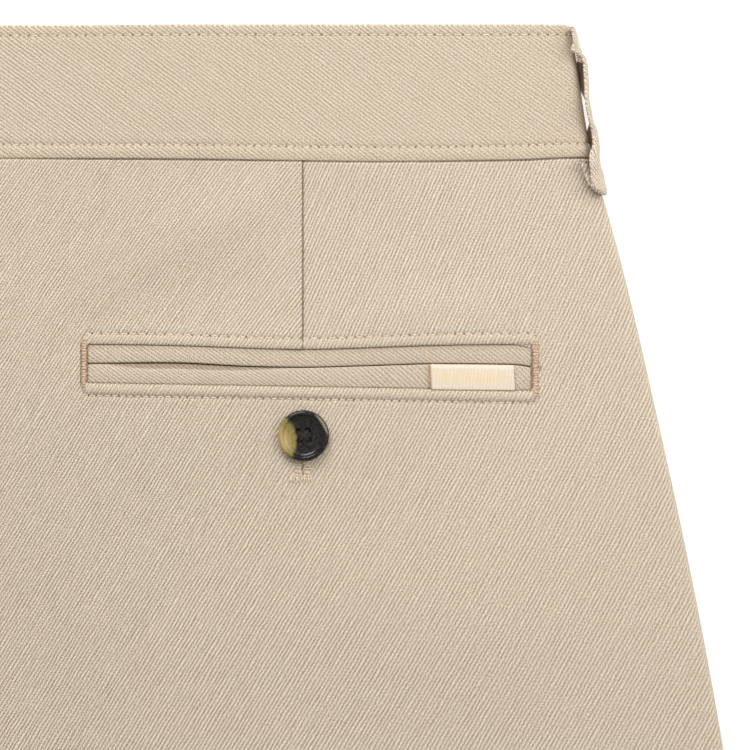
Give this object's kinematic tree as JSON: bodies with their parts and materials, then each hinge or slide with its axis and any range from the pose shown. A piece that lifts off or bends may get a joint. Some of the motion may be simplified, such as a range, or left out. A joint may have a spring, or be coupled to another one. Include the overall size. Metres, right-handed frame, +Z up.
{
  "type": "chino shorts",
  "caption": "Beige cotton twill chino shorts laid flat, back upwards, with a waistband, drop belt loops, darts and buttoned double-welt back pockets.",
  "frame": {"origin": "On the surface the shorts lie on, midway between the two sides and midway between the waistband's top edge and the lowest point of the hems.", "axes": "+X to the wearer's right, +Y towards the waist, +Z up, out of the back of the shorts."},
  "size_m": [0.5844, 0.488, 0.0116],
  "materials": {
    "twill": "beige cotton twill, matt, with a fine diagonal weave",
    "ribbon": "ivory woven ribbon, slightly satin",
    "horn_button": "dark horn-effect button with an olive patch, satin polish",
    "zip_tape": "beige woven zip tape",
    "zip_metal": "plain brushed brass"
  },
  "bodies": {
    "root": {"back_right": "twill", "front_right": "twill", "front_pocket_facing_right": "twill", "waistband_right": "twill", "back_pocket_upper_welt_right": "twill", "back_pocket_lower_welt_right": "twill", "belt_loop_side_right": "twill", "belt_loop_front_right": "twill", "back_pocket_button_right": "horn_button", "back_left": "twill", "front_left": "twill", "front_pocket_facing_left": "twill", "waistband_left": "twill", "back_pocket_upper_welt_left": "twill", "back_pocket_lower_welt_left": "twill", "belt_loop_side_left": "twill", "belt_loop_front_left": "twill", "back_pocket_button_left": "horn_button", "belt_loop_centre_back": "twill", "back_pocket_tab": "ribbon", "fly_zip": "zip_tape", "fly_zip_slider": "zip_metal", "fly_shield": "twill", "waist_button": "horn_button"}
  },
  "joints": []
}
